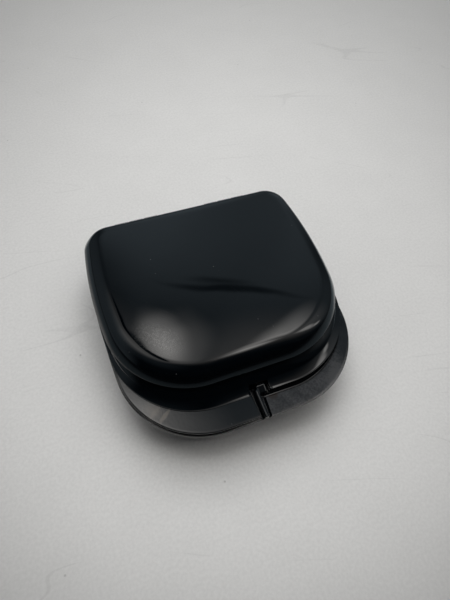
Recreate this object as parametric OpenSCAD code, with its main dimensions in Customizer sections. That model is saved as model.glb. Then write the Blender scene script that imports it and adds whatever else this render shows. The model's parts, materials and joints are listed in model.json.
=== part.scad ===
// Dental appliance box: a closed two-part case with a D-shaped plan, for a
// retainer or a night guard. The lid is a soft pillow over a waist and a rim,
// and each half carries a thumb ledge on its own side of the front, so that
// the two ledges are pushed apart to open it. Two pins at the back hinge it.
//
// Millimetres, +Z up, front towards -Y. The origin is the middle of the
// closed case's footprint, hinge and ledges included, on the table.

/* [Plan of the case] */
// Width over the bead of the lid
case_w = 78; // [66:0.5:100]
// Depth over the bead of the lid, without the ledges and the hinge
case_d = 65; // [56:0.5:90]
// Radius of the two wide front corners
corner_r = 26.5; // [18:0.5:30]
// Angle that a front corner turns through
corner_turn = 84.5; // [78:0.5:88]
// Radius of the slightly bowed sides
side_r = 131; // [110:1:220]
// Radius of the two small back corners
back_r = 9.2; // [8:0.1:14]

/* [Walls and joint face] */
// Thickness of the moulded walls
wall = 1.6; // [1.2:0.1:2.2]
// Gap between the lid and the base where they meet
parting_gap = 0.2; // [0.1:0.05:0.4]

/* [Lid] */
// Height of the bead's widest line above the lid's joint face
bead_z = 5.8; // [5:0.1:9]
// Height from the bead to the edge of the top panel
pillow_h = 4.8; // [3.5:0.1:9]
// How far the top panel's edge lies inside the bead
pillow_in = 5.7; // [4.5:0.1:6.5]
// Roundness of the pillow's edge, 2 is an ellipse and less is flatter
pillow_round = 1.5; // [1.3:0.1:2.6]
// Rise of the crowned top panel from its edge to its middle
crown_rise = 1.6; // [0.8:0.1:4]

/* [Waist and rim, the same on both halves] */
// How far the rim stands forward of the bead at the front
rim_fwd = 5; // [4:0.1:6.5]
// Height of the rim's upright edge
rim_t = 1.3; // [1:0.05:1.8]
// Height of the upper edge of the band above the rim
band_z = 2.4; // [2.1:0.1:3]
// How far the band's upper edge stands forward
band_fwd = 3.5; // [2.5:0.1:3.9]
// How far the band's upper edge lies inside the rim
band_in = 0.9; // [0.5:0.1:1.2]
// Depth of the hollow waist under the bead
waist_in = 1.3; // [0.6:0.1:1.6]

/* [Ledges] */
// How far the thumb ledges stand forward of the bead at the front
ledge_fwd = 13; // [9:0.5:18]
// How much narrower the flange is than the bead, on each side of its front
ledge_pinch = 0.2; // [0:0.1:0.8]
// Thickness of the lid's thumb ledge
lid_ledge_t = 1.2; // [1:0.05:1.25]
// Thickness of the base's flange, whose right half is its thumb ledge
flange_t = 1.4; // [1.2:0.1:2]
// How far the lid's ledge stops short of the flange under it
ledge_short = 0.4; // [0.2:0.1:1]

/* [Slot and key] */
// Width of the slot between the ledges at the front edge
slot_w_front = 3.5; // [3:0.1:5]
// Width of the slot between the ledges at the rim
slot_w_rim = 4.6; // [3.5:0.1:6]
// Depth of the grooves beside the rib, below the flange's top
groove_d = 0.8; // [0.4:0.1:1]
// Thickness of the rib that stands in the slot
rib_t = 1; // [0.8:0.1:1.4]
// Height of the rib above the flange
rib_h = 1.3; // [0.8:0.1:1.8]
// Width of the key block at the inner end of the rib
key_w = 2.6; // [1.5:0.1:3.5]
// Depth of the key block, from front to back
key_d = 2.3; // [1.6:0.1:2.6]
// How far the key block stands out from the rim
key_out = 0.4; // [0:0.1:0.8]
// Height of the key block's front edge above the flange
key_h = 0.8; // [0.4:0.1:1]
// How much higher the key block's back edge is than its front edge
key_rise = 0.9; // [0.3:0.1:1.2]
// Gap between the key block and the lid's rim on its right
key_gap = 0.9; // [0.3:0.1:1.5]
// Radius of the small nub under the flange at the front of the rib
nub_r = 1.1; // [0.8:0.1:1.6]

/* [Base] */
// Height of the base from the table to its joint face
base_h = 13; // [12:0.5:22]
// Height of the base's lip inside the lid's rim
lip_h = 1; // [0.6:0.1:1.1]
// Thickness of the lip
lip_t = 1; // [0.8:0.1:1.4]
// Clearance between the lip and the lid's rim
lip_gap = 0.35; // [0.25:0.05:0.5]

/* [Hinge] */
// Radius of the hinge pins
pin_r = 0.9; // [0.7:0.1:1.1]
// Outer radius of the knuckles
knuckle_r = 2.1; // [2:0.1:2.6]
// Length of one knuckle
knuckle_w = 5; // [4:0.1:5.5]
// Gap between two neighbouring knuckles
knuckle_gap = 0.4; // [0.3:0.05:0.6]
// Distance of each hinge's middle from the middle of the case
hinge_x = 17; // [12:0.5:18]
// Clearance between the knuckles and the wall of the other half
hinge_gap = 0.4; // [0.3:0.1:0.8]
// Clearance round a pin in the lid's knuckles, where it turns
turn_fit = 0.06; // [0.03:0.01:0.1]
// Clearance round a pin in the base's knuckles, where it is held
hold_fit = 0.02; // [0.01:0.01:0.04]

/* [Hidden] */

// Steps round the outline, and up the curved stretches of the walls.
corner_steps = 14;
side_steps = 6;
back_steps = 7;
waist_steps = 5;
neck_steps = 3;
pillow_steps = 6;
crown_steps = 3;
// Facets of the hinge's round parts and of the nub, and the skins' convexity.
hinge_fn = 48;
nub_fn = 32;
skin_convexity = 6;
// Cuts run this far past the faces that they open.
past = 1;

case_black = "#17181b";
pin_steel = "#9a9da0";

function lerp(a, b, t) = a + (b - a) * t;
function clamp01(t) = min(1, max(0, t));

// The plan of one half: the flat front, then the front corner, the side and the
// back corner as arcs that meet without a kink.
// Half the flat front is what the width leaves beside the corner and the bow.
front_half = case_w / 2 - corner_r * sin(corner_turn) - side_r * (1 - sin(corner_turn));
corner_end_x = front_half + corner_r * sin(corner_turn);
corner_end_y = corner_r * (1 - cos(corner_turn));
side_cx = corner_end_x - side_r * sin(corner_turn);
side_cy = corner_end_y + side_r * cos(corner_turn);
// The heading at which the side hands over to the back corner sets the depth.
side_end = acos((case_d - side_cy - back_r) / (back_r - side_r));
back_cx = side_cx + (side_r - back_r) * sin(side_end);
back_cy = case_d - back_r;
side_end_y = side_cy - side_r * cos(side_end);

// A station is [x, y, heading]; its outward normal is [sin, -cos] of the heading.
function arc_stations(cx, cy, r, h0, h1, steps) =
    [for (i = [0:steps]) let (h = lerp(h0, h1, i / steps)) [cx + r * sin(h), cy - r * cos(h), h]];

function drop_first(list) = [for (i = [1:len(list) - 1]) list[i]];

half_plan = concat(
    [[0, 0, 0]],
    arc_stations(front_half, corner_r, corner_r, 0, corner_turn, corner_steps),
    drop_first(arc_stations(side_cx, side_cy, side_r, corner_turn, side_end, side_steps)),
    drop_first(arc_stations(back_cx, back_cy, back_r, side_end, 180, back_steps)),
    [[0, case_d, 180]]
);
plan = concat(
    half_plan,
    [for (i = [len(half_plan) - 2:-1:1]) [-half_plan[i].x, half_plan[i].y, -half_plan[i].z]]
);

// The plan moved outwards by off, drawn forward by fwd and narrowed by pinch.
// The pull is whole as far back as the front corners and fades along the sides.
function plan_points(off, fwd, pinch = 0) =
    [for (s = plan)
        let (y = s.y - off * cos(s.z), pull = clamp01((side_end_y - y) / (side_end_y - corner_end_y)))
        [s.x + (off - pinch * pull) * sin(s.z), y - fwd * pull]];

function ring(z, off, fwd, pinch = 0) = [for (p = plan_points(off, fwd, pinch)) [p.x, p.y, z]];

// A ring drawn in towards the middle of the case, for the top panel.
function panel_ring(edge_off, z, rise, k) =
    [for (p = plan_points(edge_off, 0))
        [p.x * k, lerp(case_d / 2, p.y, k), z + rise * (1 - k * k)]];

// The profile of one half, from its joint face outwards and up to the panel.
// The waist sweeps back from the band's edge and in under the bead.
waist_sweep = 1.3;
function waist_z(t) = lerp(band_z, bead_z, t);
function waist_off(t) = -band_in * (1 - t) - waist_in * sin(180 * t);
function waist_fwd(t) = band_fwd * pow(1 - t, waist_sweep);
function pillow_k(t) = pow(cos(90 * t), 2 / pillow_round);
function pillow_rise(t) = pow(sin(90 * t), 2 / pillow_round);

panel_z = bead_z + pillow_h;
lid_h = panel_z + crown_rise;
neck_in = wall + waist_in;

// Each row is [height over the joint face, offset of the plan, forward pull].
rim_edge = 0.2;
waist_rows = [for (i = [0:waist_steps - 1]) let (t = i / waist_steps)
    [waist_z(t), waist_off(t), waist_fwd(t)]];
function pillow_rows(height) = [for (i = [0:pillow_steps]) let (t = i / pillow_steps)
    [lerp(bead_z, height, pillow_rise(t)), -pillow_in * (1 - pillow_k(t)), 0]];
function outer_rows(edge_t, height) =
    concat([[edge_t, -rim_edge, rim_fwd]], waist_rows, pillow_rows(height));

// Inside, the wall follows the waist up to its neck and then the pillow.
neck_t = 0.5;
inner_waist_rows = [for (i = [1:neck_steps]) let (t = neck_t * i / neck_steps)
    [waist_z(t), waist_off(t) - wall, waist_fwd(t)]];
function inner_pillow_rows(height) = [for (i = [0:pillow_steps]) let (t = i / pillow_steps)
    [lerp(bead_z, height, pillow_rise(t)), lerp(-pillow_in - wall, -neck_in, pillow_k(t)), 0]];

function reversed(list) = [for (i = [len(list) - 1:-1:0]) list[i]];
function rings_at(rows, z0, up) = [for (r = rows) ring(z0 + up * r.x, r.y, r.z)];

// Skin over rings that run from one closing point to another, as a closed solid.
module skin(start, rings, end) {
    n = len(plan);
    last = len(rings) - 1;
    points = concat([start], [for (r = rings) each r], [end]);
    end_index = len(points) - 1;
    start_fan = [for (j = [0:n - 1]) [0, 1 + (j + 1) % n, 1 + j]];
    bands = [for (i = [0:last - 1], j = [0:n - 1])
        let (a = 1 + i * n, b = a + n, k = (j + 1) % n)
        each [[a + j, a + k, b + k], [a + j, b + k, b + j]]];
    end_fan = [for (j = [0:n - 1]) [1 + last * n + j, 1 + last * n + (j + 1) % n, end_index]];
    polyhedron(points, concat(start_fan, bands, end_fan), convexity = skin_convexity);
}

// Where the hinge stands, and the move that centres the footprint.
hinge_out = knuckle_r + hinge_gap;
hinge_y = case_d + hinge_out;
hinge_z = base_h + parting_gap / 2;
foot_front = -ledge_fwd;
foot_back = hinge_y + knuckle_r;
case_y = -(foot_front + foot_back) / 2;
lid_z = base_h + parting_gap;

module place() {
    translate([0, case_y, 0]) children();
}

// The slot between the two ledges is wider at the rim than at the front.
slot_half_front = slot_w_front / 2;
slot_half_rim = slot_w_rim / 2;

// Grooves on both sides of the rib, sunk into the flange.
module groove_cut() {
    translate([0, 0, base_h - groove_d])
        linear_extrude(groove_d + past)
            polygon([
                [-slot_half_front, -ledge_fwd - past],
                [slot_half_front, -ledge_fwd - past],
                [slot_half_rim, -rim_fwd],
                [-slot_half_rim, -rim_fwd]
            ]);
}

// The rib and the key block behind it keep the two halves in line.
key_left = rib_t / 2;
key_right = key_left + key_w;
key_front = -rim_fwd - key_out;
key_back = key_front + key_d;

module rib_and_key() {
    rib_back = key_back - rib_t;
    translate([-rib_t / 2, -ledge_fwd, base_h - flange_t / 2])
        cube([rib_t, ledge_fwd + rib_back, flange_t / 2 + rib_h]);
    translate([key_left - rib_t / 2, 0, base_h])
        rotate([90, 0, 90])
            linear_extrude(key_w + rib_t / 2)
                polygon([
                    [key_front, -flange_t / 2],
                    [key_back, -flange_t / 2],
                    [key_back, key_h + key_rise],
                    [key_front, key_h]
                ]);
    translate([0, -ledge_fwd + nub_r, base_h - flange_t])
        sphere(r = nub_r, $fn = nub_fn);
}

// The notch that the key stands in, through the front of the lid's rim.
module key_notch() {
    translate([-slot_half_rim, -rim_fwd - past, lid_z - past])
        cube([slot_half_rim + key_right + key_gap, past + rim_fwd - band_fwd + band_in, past + band_z]);
}

// The lid's thumb ledge: a plate from the rim out to just short of the flange.
module lid_ledge() {
    inner = plan_points(-wall / 2, rim_fwd);
    outer = plan_points(-ledge_short, ledge_fwd, ledge_pinch);
    first = len(half_plan) + back_steps;
    left = [for (i = [first:len(plan) - 1]) i];
    translate([0, 0, lid_z])
        linear_extrude(lid_ledge_t)
            polygon(concat(
                [for (i = left) outer[i]],
                [[-slot_half_front, -ledge_fwd + ledge_short], [-slot_half_rim, -rim_fwd + wall / 2]],
                [for (i = reversed(left)) inner[i]]
            ));
}

// A hinge knuckle is a barrel and the arm that ties it into the wall.
arm_bite = wall - rim_edge;

module knuckle(x, up, bore_r) {
    arm_reach = hinge_out + arm_bite;
    arm_t = knuckle_r - parting_gap / 2;
    arm_z = up > 0 ? parting_gap / 2 : -knuckle_r;
    translate([x - knuckle_w / 2, hinge_y, hinge_z]) {
        difference() {
            union() {
                rotate([0, 90, 0]) cylinder(r = knuckle_r, h = knuckle_w, $fn = hinge_fn);
                translate([0, -arm_reach, arm_z]) cube([knuckle_w, arm_reach, arm_t]);
            }
            translate([-past, 0, 0])
                rotate([0, 90, 0]) cylinder(r = bore_r, h = knuckle_w + 2 * past, $fn = hinge_fn);
        }
    }
}

knuckle_step = knuckle_w + knuckle_gap;

module base_shell() {
    middle = case_d / 2;
    lip_out = -wall - lip_gap;
    inside = concat(inner_waist_rows, inner_pillow_rows(base_h - wall));
    skin(
        [0, middle, wall],
        concat(
            reversed(rings_at(inside, base_h, -1)),
            [
                ring(base_h, lip_out - lip_t, rim_fwd),
                ring(base_h + lip_h, lip_out - lip_t, rim_fwd),
                ring(base_h + lip_h, lip_out, rim_fwd),
                ring(base_h, lip_out, rim_fwd),
                ring(base_h, 0, ledge_fwd, ledge_pinch),
                ring(base_h - flange_t, 0, ledge_fwd, ledge_pinch)
            ],
            rings_at(outer_rows(flange_t, base_h), base_h, -1)
        ),
        [0, middle, 0]
    );
}

module base() {
    color(case_black)
    place() {
        difference() {
            union() {
                base_shell();
                for (side = [-1, 1], k = [-1, 1])
                    knuckle(side * hinge_x + k * knuckle_step, -1, pin_r + hold_fit);
            }
            groove_cut();
        }
        rib_and_key();
    }
}

// The rim's inner face stands upright as high as the base's lip reaches.
module lid_shell() {
    middle = case_d / 2;
    inside = concat(inner_waist_rows, inner_pillow_rows(panel_z - wall));
    panel_steps = [for (i = [1:crown_steps]) i / (crown_steps + 1)];
    skin(
        [0, middle, lid_z + lid_h],
        concat(
            [for (k = panel_steps) panel_ring(-pillow_in, lid_z + panel_z, crown_rise, k)],
            reversed(rings_at(outer_rows(rim_t, panel_z), lid_z, 1)),
            [
                ring(lid_z, 0, rim_fwd),
                ring(lid_z, -wall, rim_fwd),
                ring(lid_z + lip_h, -wall, rim_fwd)
            ],
            rings_at(inside, lid_z, 1),
            [for (k = reversed(panel_steps))
                panel_ring(-pillow_in - wall, lid_z + panel_z - wall, crown_rise, k)]
        ),
        [0, middle, lid_z + lid_h - wall]
    );
}

module lid() {
    color(case_black)
    place()
    difference() {
        union() {
            lid_shell();
            lid_ledge();
            for (side = [-1, 1])
                knuckle(side * hinge_x, 1, pin_r + turn_fit);
        }
        key_notch();
    }
}

module hinge_pin(side) {
    color(pin_steel)
    place()
    translate([side * hinge_x - knuckle_step - knuckle_w / 2, hinge_y, hinge_z])
        rotate([0, 90, 0]) cylinder(r = pin_r, h = 2 * knuckle_step + knuckle_w, $fn = hinge_fn);
}

base();
lid();
hinge_pin(-1);  // hinge_pin_left
hinge_pin(1);  // hinge_pin_right
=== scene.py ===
# %% [markdown]
# # A dental appliance box in glossy black plastic
#
# The real object is a small hinged case for a retainer: two thin mouldings in
# black plastic and two steel pins. The CAD model already holds its true sizes,
# so this lesson loads that model as a fixed frame and dresses it. The CAD
# walls are made of flat facets, which a mirror-like plastic would show at
# once, so each moulding is worked out again here as a smooth surface from the
# same sizes, and takes the place of its CAD solid.

import json
import math

import bpy
import numpy as np
from mathutils import Matrix, Vector


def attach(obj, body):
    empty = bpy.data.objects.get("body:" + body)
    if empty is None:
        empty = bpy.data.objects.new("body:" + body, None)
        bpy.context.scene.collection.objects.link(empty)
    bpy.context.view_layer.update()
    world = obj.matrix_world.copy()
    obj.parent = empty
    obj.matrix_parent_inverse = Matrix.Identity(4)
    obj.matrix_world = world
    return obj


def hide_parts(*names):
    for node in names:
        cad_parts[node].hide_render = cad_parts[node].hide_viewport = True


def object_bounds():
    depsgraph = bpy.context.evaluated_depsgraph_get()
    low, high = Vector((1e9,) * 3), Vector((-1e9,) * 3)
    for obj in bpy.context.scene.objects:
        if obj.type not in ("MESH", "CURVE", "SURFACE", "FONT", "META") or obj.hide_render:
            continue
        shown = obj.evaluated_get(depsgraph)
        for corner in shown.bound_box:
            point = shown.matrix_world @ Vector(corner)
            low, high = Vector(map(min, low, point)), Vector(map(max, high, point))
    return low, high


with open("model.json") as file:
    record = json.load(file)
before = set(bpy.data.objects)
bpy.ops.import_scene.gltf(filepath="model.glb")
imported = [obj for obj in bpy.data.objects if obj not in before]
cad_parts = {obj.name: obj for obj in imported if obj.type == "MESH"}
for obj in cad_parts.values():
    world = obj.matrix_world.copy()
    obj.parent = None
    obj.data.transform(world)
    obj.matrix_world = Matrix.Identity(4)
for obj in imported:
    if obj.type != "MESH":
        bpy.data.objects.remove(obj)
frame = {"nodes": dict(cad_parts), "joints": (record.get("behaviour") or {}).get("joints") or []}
cad_low, cad_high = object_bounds()
MM = 0.001
scene = bpy.context.scene
print("CAD box in mm:", [round(v / MM, 2) for v in (*cad_low, *cad_high)])

# %% [markdown]
# ## The sizes
#
# All sizes below are in millimetres and have the names of the CAD source's
# driving sizes. A few are some tenths away from the source, where the gloss in
# the photograph asked for it. Where the case stands is read from the frame:
# its front edge gives the shift along Y, and the lid's joint the hinge line.

# %% Sizes of the plan and of the walls
CASE_W, CASE_D = 78.0, 65.0
CORNER_R, CORNER_TURN = 26.5, math.radians(84.5)
SIDE_R, BACK_R = 131.0, 9.2
WALL = 1.6
BEAD_Z, PILLOW_H, PILLOW_IN, PILLOW_ROUND = 5.25, 4.95, 5.7, 1.5
CROWN_RISE = 2.0
RIM_FWD, RIM_T, RIM_EDGE = 5.0, 1.45, 0.2
FLARE_FWD = 5.9
BAND_Z, BAND_FWD, BAND_IN = 2.5, 3.5, 0.9
WAIST_IN, WAIST_SWEEP, WAIST_SKEW = 1.5, 1.1, 2.0

# %% Sizes of the ledges, the slot, the key, the base and the hinge
LEDGE_FWD, LEDGE_PINCH, LEDGE_SHORT = 13.0, 0.2, 0.4
LID_LEDGE_T, FLANGE_T = 1.35, 1.4
SLOT_FRONT, SLOT_RIM = 1.75, 2.3
GROOVE_D, RIB_T, RIB_H = 1.15, 1.0, 1.3
KEY_W, KEY_D, KEY_H, KEY_RISE, KEY_GAP = 2.6, 2.7, 0.8, 0.9, 0.9
NOTCH_ROOF = 2.2
NUB_R = 1.1
BASE_H, PARTING_GAP = 13.0, 0.2
LIP_H, LIP_T, LIP_GAP = 1.0, 1.0, 0.35
PIN_R, KNUCKLE_R, KNUCKLE_W, KNUCKLE_GAP = 0.9, 2.1, 5.0, 0.4
HINGE_X, HINGE_GAP, TURN_FIT, HOLD_FIT = 17.0, 0.4, 0.06, 0.02

CASE_Y = cad_low.y / MM + LEDGE_FWD
LID_Z = BASE_H + PARTING_GAP
PANEL_Z = BEAD_Z + PILLOW_H
hinge_joint = frame["joints"][0]
HINGE_Y = hinge_joint["pos_m"][1] / MM - CASE_Y
HINGE_Z = hinge_joint["pos_m"][2] / MM
print("the case stands at y", round(CASE_Y, 2), "and hinges at y, z", round(HINGE_Y, 2), round(HINGE_Z, 2))

# %% [markdown]
# ## The outline seen from above
#
# The plan is a letter D: a flat front, two wide corners, slightly bowed sides
# and two small corners at the straight back. Each piece is an arc that starts
# where the last one ends, in the same direction, so the outline has no kink
# for the gloss to show. A station on it is a place and a heading. Where the
# slot, the rib, the key and the notch lie, the flat front gets extra stations
# close together, so that their walls can rise within a fifth of a millimetre.

# %% Stations round the plan
FRONT_HALF = CASE_W / 2 - CORNER_R * math.sin(CORNER_TURN) - SIDE_R * (1 - math.sin(CORNER_TURN))
CORNER_END = (FRONT_HALF + CORNER_R * math.sin(CORNER_TURN), CORNER_R * (1 - math.cos(CORNER_TURN)))
SIDE_CENTRE = (CORNER_END[0] - SIDE_R * math.sin(CORNER_TURN), CORNER_END[1] + SIDE_R * math.cos(CORNER_TURN))
SIDE_TURN = math.acos((CASE_D - SIDE_CENTRE[1] - BACK_R) / (BACK_R - SIDE_R))
BACK_CENTRE = (SIDE_CENTRE[0] + (SIDE_R - BACK_R) * math.sin(SIDE_TURN), CASE_D - BACK_R)
SIDE_END_Y = SIDE_CENTRE[1] - SIDE_R * math.cos(SIDE_TURN)
KEY_RIGHT = RIB_T / 2 + KEY_W
NOTCH_RIGHT = KEY_RIGHT + KEY_GAP
KEY_BACK = KEY_D - FLARE_FWD
WALL_RUN, CLEAR_OF_WALL = 0.1, 0.12
WALL_STEPS, SLOT_STEPS, GAP_STEPS, FRONT_STEPS = 9, 9, 5, 10
CORNER_STEPS, SIDE_STEPS, BACK_CORNER_STEPS, BACK_STEPS = 64, 34, 30, 18
NEAR_ZERO = 1e-6


def lerp(a, b, t):
    """The value t of the way from a to b."""
    return a + (b - a) * t


def smooth(t):
    """An S from 0 to 1 that starts and ends level: 3 t squared minus 2 t cubed, held outside 0 to 1."""
    t = np.clip(t, 0, 1)
    return t * t * (3 - 2 * t)


def step_up(v, edge):
    """0 before the edge and 1 after it, rising within the wall's run."""
    return smooth((v - edge + WALL_RUN) / (2 * WALL_RUN))


def within(v, low, high):
    """1 between two walls and 0 outside them."""
    return step_up(v, low) * (1 - step_up(v, high))


def arc(centre, r, start, end, steps):
    """Points at r times (sin h, -cos h) from the centre, as the heading h goes from start to end."""
    h = np.linspace(start, end, steps + 1)
    return np.stack([centre[0] + r * np.sin(h), centre[1] - r * np.cos(h), h], 1)


def front_places():
    """Even places along half the flat front, and more across each wall that stands on it."""
    walls = np.array([RIB_T / 2, SLOT_RIM, KEY_RIGHT, NOTCH_RIGHT])
    across = walls[:, None] + np.linspace(-WALL_RUN, WALL_RUN, WALL_STEPS)[None]
    even = np.concatenate([
        [0],
        np.linspace(RIB_T / 2, SLOT_RIM, SLOT_STEPS)[1:-1],
        np.linspace(KEY_RIGHT, NOTCH_RIGHT, GAP_STEPS)[1:-1],
        np.linspace(NOTCH_RIGHT, FRONT_HALF, FRONT_STEPS)[1:],
    ])
    far = np.abs(even[:, None] - walls[None]).min(1) > CLEAR_OF_WALL
    return np.sort(np.concatenate([even[far], across.ravel()]))


def plan_stations():
    """The outline as rows of x, y and heading, from the middle of the front to the right and round."""
    x = front_places()
    front = np.stack([x, 0 * x, 0 * x], 1)
    corner = arc((FRONT_HALF, CORNER_R), CORNER_R, 0, CORNER_TURN, CORNER_STEPS)
    side = arc(SIDE_CENTRE, SIDE_R, CORNER_TURN, SIDE_TURN, SIDE_STEPS)
    back_corner = arc(BACK_CENTRE, BACK_R, SIDE_TURN, math.pi, BACK_CORNER_STEPS)
    back_x = np.linspace(BACK_CENTRE[0], 0, BACK_STEPS)
    back = np.stack([back_x, 0 * back_x + CASE_D, 0 * back_x + math.pi], 1)
    half = np.concatenate([front, corner[1:], side[1:], back_corner[1:], back[1:]])
    mirrored = half[-2:0:-1] * [-1, 1, -1]
    return np.concatenate([half, mirrored])


PLAN = plan_stations()
OUTWARD = np.stack([np.sin(PLAN[:, 2]), -np.cos(PLAN[:, 2])], 1)
AT_FRONT = np.abs(PLAN[:, 2]) < NEAR_ZERO
HALF_COUNT = len(PLAN) // 2 + 1
print("stations round the plan:", len(PLAN))

# %% [markdown]
# ## From a profile to a shell
#
# Every wall of the case is one profile carried round the plan. A point of the
# profile has a height, an offset outwards from the plan, and a pull forward,
# because the rim and the ledges stand forward of the bead at the front and
# not at the back. The pull is whole round the front and fades along the
# sides. One more number, the dip, lets the pillow's edge leave the top panel
# at exactly the slope of the crown, so that no crease shows in the gloss.

# %% Places in the plan for offsets and pulls
def pull_at(y):
    """The share of a pull forward at a place: 1 round the front, falling evenly along the sides to 0."""
    return np.clip((SIDE_END_Y - y) / (SIDE_END_Y - CORNER_END[1]), 0, 1)


def plan_points(off, fwd, pinch=0.0, stations=slice(None)):
    """The plan's points moved outwards by off less pinch times the pull, and forward by fwd times it."""
    s, n = PLAN[stations], OUTWARD[stations]
    off, fwd, pinch = (np.asarray(v, float)[..., None] for v in (off, fwd, pinch))
    y = s[:, 1] + off * n[:, 1]
    pull = pull_at(y)
    x = s[:, 0] + (off - pinch * pull) * n[:, 0]
    return x, y - fwd * pull


# %% The crown as a film
FILM_SCALE = 30.0
FILM_TERMS = 13


def film_terms(x, y):
    """The place as a complex number, its powers, and a bowl that falls as its size squared over 4."""
    w = ((y - CASE_D / 2) + 1j * x) / FILM_SCALE
    powers = w[..., None] ** np.arange(FILM_TERMS)
    return w, powers, -np.abs(w) ** 2 / 4


def film_fit(edge_off):
    """Weights of the powers that make the film level along the outline, and its height at the top."""
    w, powers, bowl = film_terms(*plan_points(edge_off, 0.0))
    weights = np.linalg.lstsq(powers.real, -bowl, rcond=None)[0]
    along = np.linspace(-CASE_D / 4, CASE_D / 4, 101) / FILM_SCALE
    top = (along[:, None] ** np.arange(FILM_TERMS) @ weights - along ** 2 / 4).max()
    unlevel = np.ptp(powers.real @ weights + bowl) / top * CROWN_RISE
    print("the film's edge is level within", round(unlevel, 3), "mm")
    return weights, top


def film_height(x, y, fit=None):
    """The film's height over its edge at a place, or 0 for a flat panel without a fit."""
    if fit is None:
        return 0 * x
    w, powers, bowl = film_terms(x, y)
    return CROWN_RISE * ((powers.real @ fit[0] + bowl) / fit[1])


def film_slope(edge_off, fit):
    """How steeply the film falls outwards at each station of its edge, for a rise of 1."""
    w, powers, _ = film_terms(*plan_points(edge_off, 0.0))
    steps = powers[:, :-1] * np.arange(1, FILM_TERMS)
    along_y = steps.real @ fit[0][1:] - w.real / 2
    along_x = -steps.imag @ fit[0][1:] - w.imag / 2
    return -(along_x * OUTWARD[:, 0] + along_y * OUTWARD[:, 1]) / fit[1] / FILM_SCALE


CROWN_FIT = film_fit(-PILLOW_IN)
CROWN_SLOPE = CROWN_RISE * film_slope(-PILLOW_IN, CROWN_FIT)
INNER_FIT = film_fit(-PILLOW_IN - WALL)
edge_turns = np.degrees(np.arctan([CROWN_SLOPE.min(), CROWN_SLOPE.max()]))
print("the crown leaves its edge at", edge_turns.round(1), "degrees")

# %% Fillets by walking the profile
FILLET, WALK, CLOSEST_ROWS = 0.22, 0.02, 0.3


def run_along(points):
    """The way gone along a chain of points, from 0 at its first."""
    return np.concatenate([[0], np.cumsum(np.linalg.norm(np.diff(points, axis=0), axis=1))])


def resampled(points, at, run):
    """The chain's points at other places of the run along it."""
    return np.stack([np.interp(at, run, c) for c in points.T], 1)


def averaged(points, window):
    """Each point of a chain averaged with its neighbours by the window's weights."""
    return np.stack([np.convolve(c, window / window.sum(), "valid") for c in points.T], 1)


def walked(corners, fillet=FILLET):
    """The profile at an even spacing and averaged, so that its corners turn into fillets of that reach."""
    corners = np.asarray(corners, float)
    run = run_along(corners[:, :3])
    fine = resampled(corners, np.linspace(0, run[-1], int(run[-1] / WALK)), run)
    reach = int(fillet / WALK)
    before = fine[0] + (fine[0] - fine[1]) * np.arange(reach, 0, -1)[:, None]
    after = fine[-1] + (fine[-1] - fine[-2]) * np.arange(1, reach + 1)[:, None]
    return averaged(np.concatenate([before, fine, after]), np.bartlett(2 * reach + 3)[1:-1])


def thinned(fine, coarse=0.9, turn=math.radians(7), extra=()):
    """Rows picked from a walked profile, one for so many millimetres or so much turn, and extra rows."""
    way = np.diff(fine[:, :3], axis=0)
    length = np.linalg.norm(way, axis=1)
    way = way / np.maximum(length, NEAR_ZERO)[:, None]
    bend = np.arccos(np.clip((way[1:] * way[:-1]).sum(1), -1, 1))
    weight = length / coarse + np.concatenate([[0], bend]) / turn
    total = np.concatenate([[0], np.cumsum(weight)])
    at = np.interp(np.linspace(0, total[-1], int(total[-1]) + 2), total, np.arange(len(total)))
    at = np.sort(np.concatenate([at, np.asarray(extra, float)]))
    keep = np.concatenate([[True], np.diff(at) > CLOSEST_ROWS])
    return resampled(fine, at[keep], np.arange(len(fine)))


# %% Profile curves of the waist, the flare and the pillow
FLARE_SAG, FLARE_LIP, FLARE_LIP_FALL = 0.2, 0.4, 0.03
FLARE_IN, RIM_FOOT = 0.02, -0.15
BEAD_IN = 0.05
PILLOW_START, PILLOW_FOOT = 0.05, 1.85
FOOT_TURNS, FOOT_LENGTHS, FOOT_DROP = (60.0, 37.0, 26.0), (0.0, 1.07, 4.6), 0.35


def waist(t):
    """From the band's edge at t 0 to the bead at t 1: in and out as a sine that is deepest near the bead."""
    z = lerp(BAND_Z, BEAD_Z, t)
    off = lerp(-BAND_IN, -BEAD_IN, t) - WAIST_IN * np.sin(np.pi * t ** WAIST_SKEW)
    return np.stack([z, off, BAND_FWD * (1 - t) ** WAIST_SWEEP, 0 * t], 1)


def flare(t):
    """From the band's edge at t 0 down to the lip at t 1, flattening like the mouth of a bell."""
    fall = t * (1 + FLARE_SAG * (1 - t))
    z = lerp(BAND_Z, RIM_T + FLARE_LIP_FALL, fall)
    return np.stack([z, lerp(-BAND_IN, -FLARE_IN, t), lerp(BAND_FWD, FLARE_FWD - FLARE_LIP, t), 0 * t], 1)


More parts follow.
